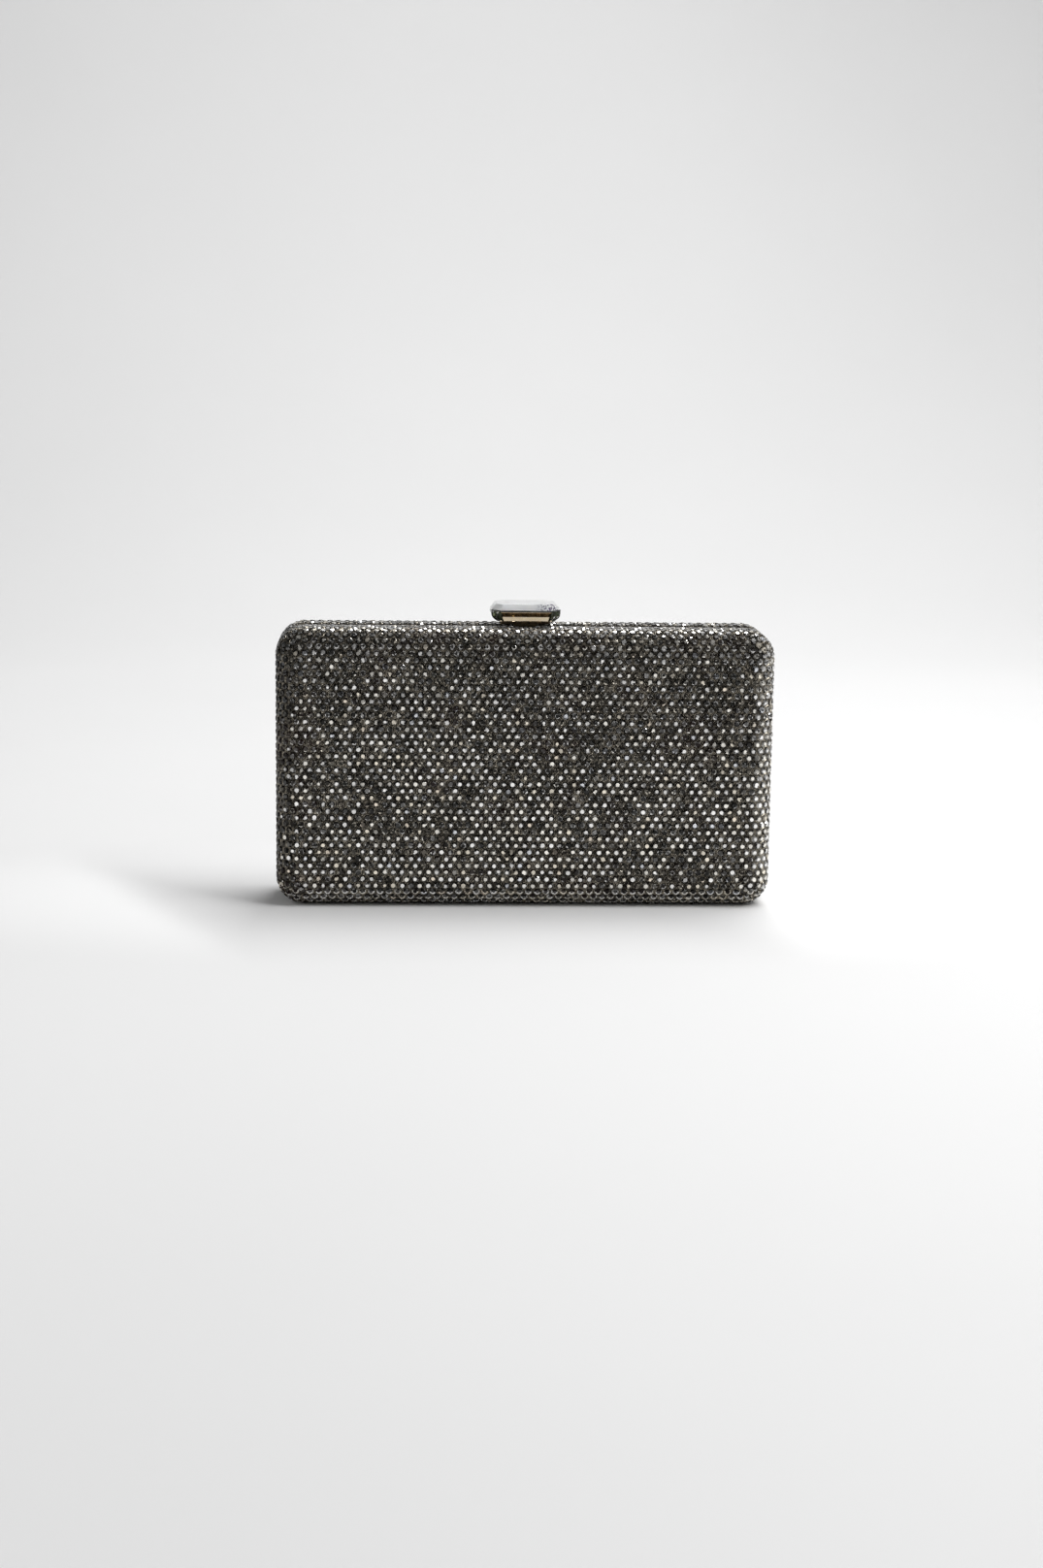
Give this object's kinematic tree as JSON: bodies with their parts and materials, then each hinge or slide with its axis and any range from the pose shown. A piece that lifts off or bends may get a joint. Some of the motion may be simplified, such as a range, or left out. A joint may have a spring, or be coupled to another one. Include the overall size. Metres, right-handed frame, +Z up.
{
  "type": "box clutch",
  "caption": "Hard-shell box clutch with stone-covered halves that open on a bottom hinge, shut by a sprung clasp with a large step-cut stone.",
  "frame": {"origin": "on the ground under the middle of the shut case, in the seam plane", "axes": "+X to the right seen from the front, +Y from the front to the back, +Z up"},
  "size_m": [0.18, 0.04, 0.1092],
  "materials": {
    "dark_stones": "small round faceted gunmetal stones set close together in a dark net",
    "case_metal": "plain pressed sheet",
    "frame_metal": "polished gunmetal plating",
    "lining_cloth": "black satin over a stiff tray",
    "hinge_metal": "satin nickel",
    "clasp_metal": "polished champagne gold",
    "clear_stone": "clear step-cut glass with a foiled back",
    "spring_steel": "bright steel"
  },
  "bodies": {
    "rear_half": {"rear_stone_cover": "dark_stones", "rear_shell": "case_metal", "rear_frame": "frame_metal", "rear_lining": "lining_cloth", "hinge_leaf_rear_left": "hinge_metal", "hinge_leaf_rear_right": "hinge_metal", "hinge_pin_left": "hinge_metal", "hinge_pin_right": "hinge_metal", "leaf_rivet_rear_left_1": "hinge_metal", "leaf_rivet_rear_left_2": "hinge_metal", "leaf_rivet_rear_right_1": "hinge_metal", "leaf_rivet_rear_right_2": "hinge_metal", "clasp_bracket": "hinge_metal", "bracket_screw_1": "spring_steel", "bracket_screw_2": "spring_steel", "clasp_pivot_pin": "spring_steel", "clasp_spring": "spring_steel"},
    "front_half": {"front_stone_cover": "dark_stones", "front_shell": "case_metal", "front_frame": "frame_metal", "front_lining": "lining_cloth", "hinge_leaf_front_left": "hinge_metal", "hinge_leaf_front_right": "hinge_metal", "leaf_rivet_front_left_1": "hinge_metal", "leaf_rivet_front_left_2": "hinge_metal", "leaf_rivet_front_right_1": "hinge_metal", "leaf_rivet_front_right_2": "hinge_metal", "striker": "hinge_metal", "striker_rivet_1": "hinge_metal", "striker_rivet_2": "hinge_metal"},
    "clasp": {"clasp_stone": "clear_stone", "clasp_setting": "clasp_metal", "clasp_lever": "clasp_metal", "clasp_grub_screw": "spring_steel"}
  },
  "joints": [
    {"name": "front_half_hinge", "type": "hinge", "parent": "rear_half", "child": "front_half", "pos_m": [0, 0, 0.00175], "axis": [1, 0, 0], "range_deg": [0, 90]},
    {"name": "clasp_pivot", "type": "hinge", "parent": "rear_half", "child": "clasp", "pos_m": [0, 0.00895, 0.0925], "axis": [-1, 0, 0], "range_deg": [0, 10], "stiffness_Nm_per_rad": 0.1, "springref_deg": -11.46, "deforming": ["clasp_spring"]}
  ]
}
